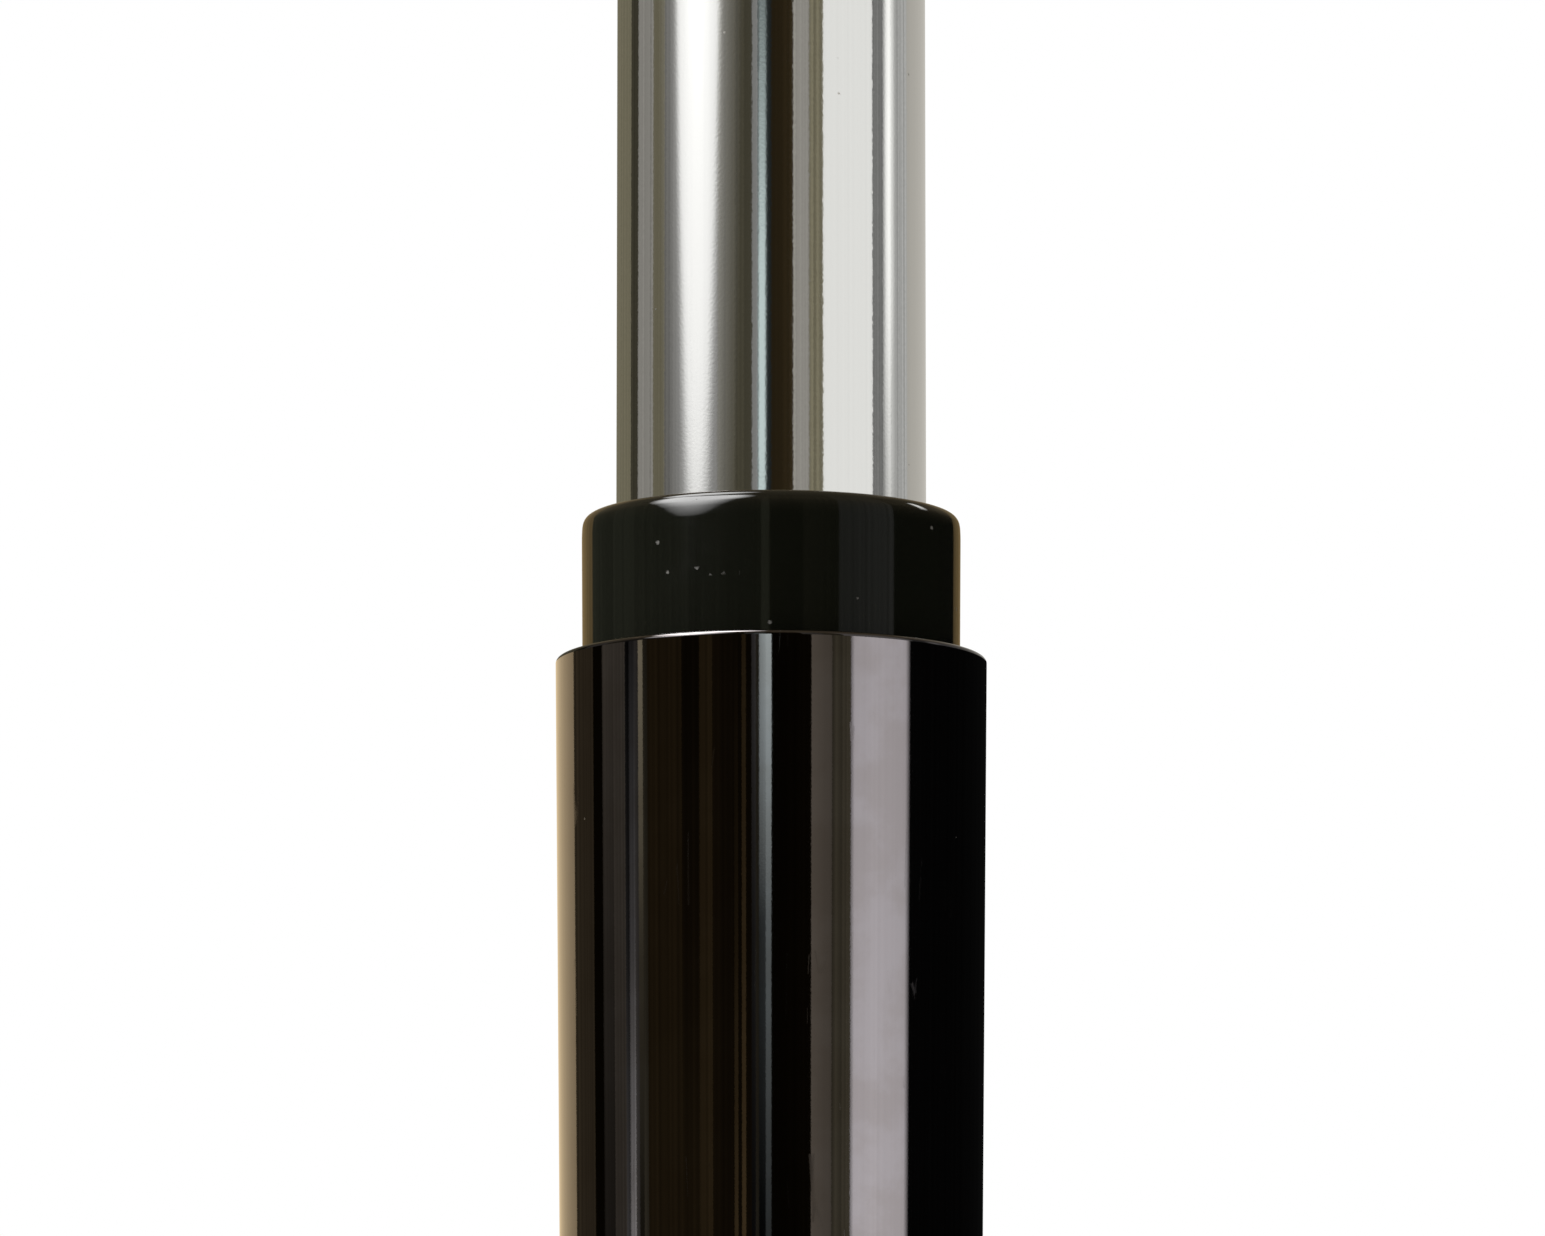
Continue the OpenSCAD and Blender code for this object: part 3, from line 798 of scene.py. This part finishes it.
collarCards = [                  # only the collar sees these
    (-180, -139, "brown", 0.32, 0.40),
    (-139, -111, "moss", 0.09, 0.12),
    (-111, -91, "moss", 0.17, 0.24),
    (-91, -50, "moss", 0.19, 0.18),
    (-50, -31, "moss", 0.115, 0.15),
    (-31, -6, "moss", 0.11, 0.08),
    (-6, -1, "moss", 0.27, 0.27),
    (-1, 19, "olive", 0.03, 0.015),
    (19, 41, "olive", 0.07, 0.035),
    (41, 79, "neutral", 0.22, 0.29),             # widest pale card
    (79, 146, "neutral", 0.004, 0.004),
    (146, 180, "brown", 0.25, 0.30),
]
skirtCards = [                   # greys on the floor and low down, for the view from above and behind
    (-180, -163, "neutral", 0.55, 0.50),
    (-163, -150, "neutral", 0.06, 0.05),
    (-150, -128, "neutral", 1.90, 1.70),
    (-128, -104, "neutral", 0.30, 0.22),
    (-104, -96, "neutral", 0.05, 0.05),
    (-96, -62, "neutral", 0.50, 0.40),
    (-62, -44, "neutral", 1.60, 1.80),
    (-44, -20, "neutral", 0.16, 0.12),
    (-20, -10, "neutral", 0.60, 0.60),
    (-10, 18, "neutral", 0.05, 0.07),
    (18, 40, "neutral", 0.35, 0.45),
    (40, 76, "neutral", 2.00, 1.80),
    (76, 100, "neutral", 0.06, 0.05),
    (100, 126, "neutral", 0.40, 0.55),
    (126, 134, "neutral", 0.08, 0.08),
    (134, 158, "neutral", 1.70, 1.50),
    (158, 180, "neutral", 0.20, 0.30),
]
lowCards = [                     # the black tube sees these
    (-180, -130, "umber", 0.90, 1.28, 1.0),
    (-130, -109, "umber", 0.16, 0.20, 1.0),
    (-109, -101, "brown", 0.020, 0.020, 1.0),
    (-101, -92, "clay", 0.40, 0.38, 0.28),
    (-92, -83.5, "clay", 0.40, 0.38, 0.9),
    (-83.5, -80.8, "neutral", 0.027, 0.027, 17.0),
    (-80.8, -76.8, "neutral", 0.12, 0.16, 14.0),
    (-76.8, -74.4, "warm", 0.24, 0.24, 2.0),
    (-74.4, -71.4, "olive", 1.85, 1.85, 0.05),
    (-71.4, -68.5, "olive", 0.16, 0.12, 2.0),
    (-68.5, -48, "brown", 0.127, 0.127, 1.1),
    (-48, -38, "brown", 0.030, 0.030, 4.0),
    (-38, -31, "brown", 0.16, 0.18, 1.4),
    (-31, -19.3, "brown", 0.066, 0.045, 1.2),
    (-19.3, -17.3, "brown", 0.045, 0.045, 9.0),  # thin lines beside the foot of the tall strip
    (-17.3, -15.3, "brown", 0.035, 0.035, 1.5),
    (-15.3, -13.2, "brown", 0.19, 0.19, 2.8),
    (-13.2, -10.2, "brown", 0.030, 0.030, 2.0),
    (-10.2, -8.0, "neutral", 0.30, 0.36, 0.13),
    (-8.0, -6.3, "olive", 0.16, 0.16, 1.0),
    (-6.3, -2.8, "cool", 3.3, 5.0, 0.006),
    (-2.8, 0.1, "cool", 5.6, 5.8, 0.07),
    (0.1, 21, "brown", 0.016, 0.028, 1.0),
    (21, 32, "clay", 1.00, 0.69, 1.0),
    (32, 42.3, "olive", 0.38, 0.50, 1.1),
    (42.3, 44.3, "lilac", 1.6, 4.6, 1.2),        # pale card, soft at its sides
    (44.3, 58, "lilac", 4.7, 5.1, 1.2),
    (58, 75.4, "lilac", 5.1, 4.7, 1.15),
    (75.4, 78.4, "lilac", 4.4, 0.1, 1.1),
    (78.4, 180, "neutral", 0.016, 0.004, 1.0),
]


glowSizes = {
    "streakScale": 0.45,         # per degree
    "streakDetail": 3.0,
    "streakRange": (0.3, 0.7),   # what the noise between the darkest and the palest streak spans
}


def glowMaterial(name, addsLight, s):            # light read from the card's own attributes
    material = bpy.data.materials.new(name)
    material.use_nodes = True
    tree = material.node_tree
    tree.nodes.clear()

    def attribute(key):
        return addNode(tree, "ShaderNodeAttribute", attribute_name=key).outputs

    streaky = attribute("streaky")["Fac"]
    low, high = s["streakRange"]
    fed = {"W": attribute("turn")["Fac"], "Scale": s["streakScale"], "Detail": s["streakDetail"]}
    lines = addNode(tree, "ShaderNodeTexNoise", fed, noise_dimensions="1D")
    uneven = addNode(tree, "ShaderNodeMapRange", {
        "Value": lines.outputs["Fac"],
        "From Min": low,
        "From Max": high,
        "To Min": mathNode(tree, "SUBTRACT", 1.0, streaky),
        "To Max": mathNode(tree, "ADD", 1.0, streaky),
    })
    fed = {"Color": attribute("light")["Color"], "Strength": uneven.outputs["Result"]}
    glow = addNode(tree, "ShaderNodeEmission", fed)
    clear = addNode(tree, "ShaderNodeBsdfTransparent")
    if addsLight:                                # adds to what is behind it
        both = addNode(tree, "ShaderNodeAddShader")
    else:                                        # hides it as far as it covers
        both = addNode(tree, "ShaderNodeMixShader", {0: attribute("cover")["Fac"]})
    feed(tree, both.inputs[-2], clear.outputs[0])
    feed(tree, both.inputs[-1], glow.outputs[0])
    addNode(tree, "ShaderNodeOutputMaterial", {"Surface": both.outputs[0]})
    return material


coverGlow = glowMaterial("coverGlow", False, glowSizes)
addedGlow = glowMaterial("addedGlow", True, glowSizes)


def addCard(name, points, faces, lights, material, **more):
    mesh = bpy.data.meshes.new(name)
    mesh.from_pydata(points, [], faces)
    colours = mesh.attributes.new("light", "FLOAT_COLOR", "POINT")
    for point, light in zip(colours.data, lights):
        point.color = (*light, 1.0)
    for key, plain in (("turn", 0.0), ("streaky", 0.0), ("cover", 1.0)):
        values = mesh.attributes.new(key, "FLOAT", "POINT")
        values.data.foreach_set("value", more.get(key, [plain] * len(points)))
    mesh.materials.append(material)
    card = bpy.data.objects.new(name, mesh)
    scene.collection.objects.link(card)
    for rays in ("camera", "diffuse", "shadow", "transmission", "volume_scatter"):
        setattr(card, "visible_" + rays, False)  # cards light nothing: they only show in reflections
    return card


def linkTo(card, state, *pieces):                # shows it in these pieces alone, or in all the others
    group = bpy.data.collections.new(card.name + "Pieces")
    for piece in pieces:
        group.objects.link(piece)
    for member in group.collection_objects:
        member.light_linking.link_state = state
    card.light_linking.receiver_collection = group


def onRing(ring, degrees, height):
    turn = math.radians(degrees)
    return (ring * math.sin(turn), -ring * math.cos(turn), height)


def cardLight(card, share, mood, s):             # light part of the way across a card, in one of its rows
    tint, first, last, *lowShare = card[2:]
    level = first + (last - first) * share
    if mood == "upper":
        level *= s["upperShare"]
        return tuple(level * channel + glow for channel, glow in zip(cardTints[tint], s["upperGlow"]))
    if mood == "low":
        level *= lowShare[0]
    if mood == "mid":
        level *= math.sqrt(lowShare[0])
    return tuple(level * channel for channel in cardTints[tint])


def makeCardRing(name, cards, rows, material, s):            # rows: distance from the axis, height and mood
    points, faces, lights, turns, streaks, covers = [], [], [], [], [], []
    high = len(rows)
    for card in cards:
        start, end = card[:2]
        streaky = s["streaks"] if max(card[3:5]) < s["plainFrom"] else s["plainStreaks"]
        columns = max(1, round((end - start) / s["columnDeg"]))
        for i in range(columns + 1):
            at = start + (end - start) * i / columns
            for ring, height, mood in rows:
                points.append(onRing(ring, at, height))
                lights.append(cardLight(card, i / columns, mood, s))
                turns.append(at)
                streaks.append(streaky)
                covers.append(0.0 if mood == "clear" else 1.0)
            if i:
                k = len(points) - 2 * high
                faces += [(k + j, k + j + 1, k + j + high + 1, k + j + high) for j in range(high - 1)]
    return addCard(name, points, faces, lights, material, turn=turns, streaky=streaks, cover=covers)


def makeCards(s):
    def wall(ring, *rows):
        return [(s[ring], height, mood) for height, mood in rows]

    lay = cadBox[0].z + s["lift"]                # just over the floor
    skirt = [(s["skirtFrom"], lay, "clear"), (s["skirtFull"], lay, "full"), (s["skirtRing"], lay, "full")]
    skirt += wall("skirtRing", (s["skirtHigh"], "full"), (s["skirtTo"], "clear"))
    makeCardRing("skirtCards", skirtCards, skirt, coverGlow, s)
    low = wall("nearRing", (lay, "low"), (s["lowFrom"], "low"), (s["lowMid"], "mid"))
    low += wall("nearRing", (s["lowTo"], "full"), (s["lowTop"], "full"))
    rise = ((s["upperFrom"], "full"), (s["upperTo"], "upper"), (s["top"], "upper"))
    above = wall("nearRing", (s["highFrom"], "full"), *rise)
    for name, cards, rows in (("lowCards", lowCards, low), ("rimCards", highCards, above)):
        linkTo(makeCardRing(name, cards, rows, addedGlow, s), "INCLUDE", standTube)
    gleam = wall("gleamRing", (s["skirtHigh"], "full"), (s["gleamFull"], "full"), (s["gleamTo"], "clear"))
    linkTo(makeCardRing("gleamCards", skirtCards, gleam, coverGlow, s), "EXCLUDE", guideBush, standTube)
    high = wall("farRing", (lay, "full"), *rise)
    linkTo(makeCardRing("highCards", highCards, high, addedGlow, s), "EXCLUDE", guideBush, standTube)
    upperFrom, upperTo = s["collarUpper"]
    own = wall("collarRing", (lay, "full"), (upperFrom, "full"), (upperTo, "upper"), (s["top"], "upper"))
    linkTo(makeCardRing("collarCards", collarCards, own, coverGlow, s), "INCLUDE", guideBush)


ceilingSizes = {"height": 1.10, "radius": 0.75, "spokes": 48, "light": (0.40, 0.33, 0.22)}
dishSizes = {                    # big round softbox, bent round the ring
    "azimuth": -56.6,            # degrees from the camera's side
    "ring": 0.685,
    "height": 0.642,
    "radius": 0.31,
    "wide": 1.0,
    "spokes": 64,
    "light": [                   # share of the radius, light
        (0.0, 1.3), (0.60, 1.3), (0.66, 1.18), (0.72, 1.10), (0.80, 1.02), (0.86, 0.92), (0.90, 0.72),
        (0.93, 0.48), (0.97, 0.30), (1.0, 0.20), (1.06, 0.15), (1.15, 0.10), (1.3, 0.05), (1.5, 0),
    ],
}
collarLampSizes = {              # a hotter one, for the glint on the collar's edge
    "azimuth": -50.0,
    "ring": 0.68,
    "height": 0.85,
    "radius": 0.494,
    "wide": 0.94,                # width against height
    "spokes": 96,
    "light": [
        (0.0, 18), (0.62, 17), (0.75, 14), (0.82, 10), (0.88, 6.6), (0.91, 4.6), (0.94, 3.2), (0.965, 2.2),
        (0.98, 1.5), (0.99, 0.8), (1.0, 0),
    ],
}
coreSizes = {                    # and one for the tube's rim
    "azimuth": -51.0,
    "ring": 0.68,
    "height": 0.85,
    "radius": 0.49,
    "wide": 0.72,
    "spokes": 64,
    "light": [
        (0.0, 29), (0.15, 26), (0.35, 15), (0.55, 9), (0.69, 5), (0.82, 3.4), (0.91, 1.5), (0.98, 0.5),
        (1.0, 0),
    ],
}
rimLampSizes = {                 # a third, flat under the ceiling, for the tube's rim
    "azimuth": -76.0,
    "away": 0.36,
    "height": 1.09,
    "radius": 0.34,
    "spokes": 48,
    "light": [(0.0, 26), (0.6, 25), (0.8, 17), (0.92, 7), (1.0, 0)],
}
edgeLampSizes = {                # a dimmer one beside it, for the collar's edge
    "azimuth": -86.0,
    "away": 0.36,
    "height": 1.08,
    "radius": 0.32,
    "spokes": 48,
    "light": [(0.0, 12), (0.6, 11), (0.8, 7), (0.92, 3), (1.0, 0)],
}
stripSizes = {                   # narrow upright softbox on the right
    "azimuths": (90.5, 95.2, 97.8, 105),
    "ring": 0.685,
    "tint": "neutral",
    "light": [                   # height, light
        (0.345, 0.1), (0.375, 0.40), (0.405, 0.78), (0.435, 0.88), (0.465, 0.8), (0.60, 0),
    ],
}
glintSizes = {                   # its hot top, for the collar's edge
    "azimuths": (105, 109, 112, 116),
    "ring": 0.685,
    "tint": "neutral",
    "light": [(0.47, 0), (0.54, 6), (0.62, 10), (0.74, 10), (0.80, 0)],
}
tallStripSizes = {               # tall cool one in front, brighter low down
    "azimuths": (-10.1, -8.5, -4.9, -3.2),
    "ring": 0.69,
    "tint": "cool",
    "light": [
        (0.345, 0.06), (0.37, 0.70), (0.41, 0.66), (0.435, 0.40), (0.46, 0.15), (0.70, 0.10), (1.09, 0.10),
    ],
}


def makeCeiling(s):
    count = s["spokes"]
    edge = [onRing(s["radius"], 360 * i / count, s["height"]) for i in range(count)]
    addCard("ceilingCard", edge, [tuple(range(count))], [s["light"]] * count, coverGlow)


def makeRoundLamp(name, s, place):               # place turns steps aside and up from its middle into a point
    count = s["spokes"]
    points, faces, lights = [place(0, 0)], [], [(s["light"][0][1],) * 3]
    for share, light in s["light"][1:]:
        for spoke in range(count):
            turn = 2 * math.pi * spoke / count
            out = s["radius"] * share
            points.append(place(out * math.cos(turn), out * math.sin(turn)))
            lights.append((light,) * 3)
    for spoke in range(count):
        after = (spoke + 1) % count
        faces.append((0, 1 + spoke, 1 + after))
        for ring in range(len(s["light"]) - 2):
            a, b = 1 + ring * count, 1 + (ring + 1) * count
            faces.append((a + spoke, b + spoke, b + after, a + after))
    return addCard(name, points, faces, lights, addedGlow)


def makeDish(name, s):
    def place(aside, up):
        azimuth = s["azimuth"] + math.degrees(aside * s["wide"] / s["ring"])
        return onRing(s["ring"], azimuth, s["height"] + up)
    return makeRoundLamp(name, s, place)


def makeOverhead(name, s):
    x, y, z = onRing(s["away"], s["azimuth"], s["height"])

    def place(aside, up):
        return (x + aside, y + up, z)
    return makeRoundLamp(name, s, place)


def makeStrip(name, s):                          # fades out at its two sides
    points, faces, lights = [], [], []
    wide = len(s["azimuths"])
    for row, (height, light) in enumerate(s["light"]):
        for column, azimuth in enumerate(s["azimuths"]):
            level = 0.0 if column in (0, wide - 1) else light
            points.append(onRing(s["ring"], azimuth, height))
            lights.append(tuple(level * channel for channel in cardTints[s["tint"]]))
            if row and column:
                k = len(points) - 1
                faces.append((k - wide - 1, k - wide, k, k - 1))
    return addCard(name, points, faces, lights, addedGlow)


lampSizes = [
    {"name": "overheadSoftbox", "place": (-0.9, -1.2, 2.2), "size": 1.6, "watts": 16.0},
    {"name": "sideSoftbox", "place": (1.6, -0.6, 1.5), "size": 1.2, "watts": 6.0},
]
lampAim = Vector((0, 0, 0.2))                    # near the middle of the part


def makeLamps(lamps):
    for s in lamps:
        data = bpy.data.lights.new(s["name"], "AREA")
        data.shape = "DISK"
        data.size = s["size"]
        data.energy = s["watts"]
        lamp = bpy.data.objects.new(s["name"], data)
        lamp.location = s["place"]
        lamp.rotation_euler = (lampAim - Vector(s["place"])).to_track_quat("-Z", "Y").to_euler()
        lamp.visible_glossy = False
        scene.collection.objects.link(lamp)


worldSizes = {
    "fill": 0.85,                # the light it sheds
    "seen": 1.0,                 # how white it looks
}


def makeWorld(s):
    world = bpy.data.worlds.new("whiteStudio")
    scene.world = world
    world.use_nodes = True
    tree = world.node_tree
    tree.nodes.clear()
    fed = {0: seenDirectly(tree)}
    for socket, key in ((1, "fill"), (2, "seen")):
        plain = {"Color": (1, 1, 1, 1), "Strength": s[key]}
        fed[socket] = addNode(tree, "ShaderNodeBackground", plain).outputs[0]
    pick = addNode(tree, "ShaderNodeMixShader", fed)
    addNode(tree, "ShaderNodeOutputWorld", {"Surface": pick.outputs[0]})


makeFloor(floorSizes)
makeCards(cardSizes)
makeCeiling(ceilingSizes)
linkTo(makeDish("lampDish", dishSizes), "EXCLUDE", guideBush, standTube)
linkTo(makeDish("lampCollar", collarLampSizes), "INCLUDE", guideBush)
linkTo(makeDish("lampCore", coreSizes), "INCLUDE", standTube)
linkTo(makeOverhead("lampRim", rimLampSizes), "INCLUDE", standTube)
for edgeLamp in (makeOverhead("lampEdge", edgeLampSizes), makeStrip("lampGlint", glintSizes)):
    linkTo(edgeLamp, "INCLUDE", guideBush)
for thinLamp in (makeStrip("lampStrip", stripSizes), makeStrip("lampTallStrip", tallStripSizes)):
    linkTo(thinLamp, "EXCLUDE", guideBush)
makeLamps(lampSizes)
makeWorld(worldSizes)
print("studio set")
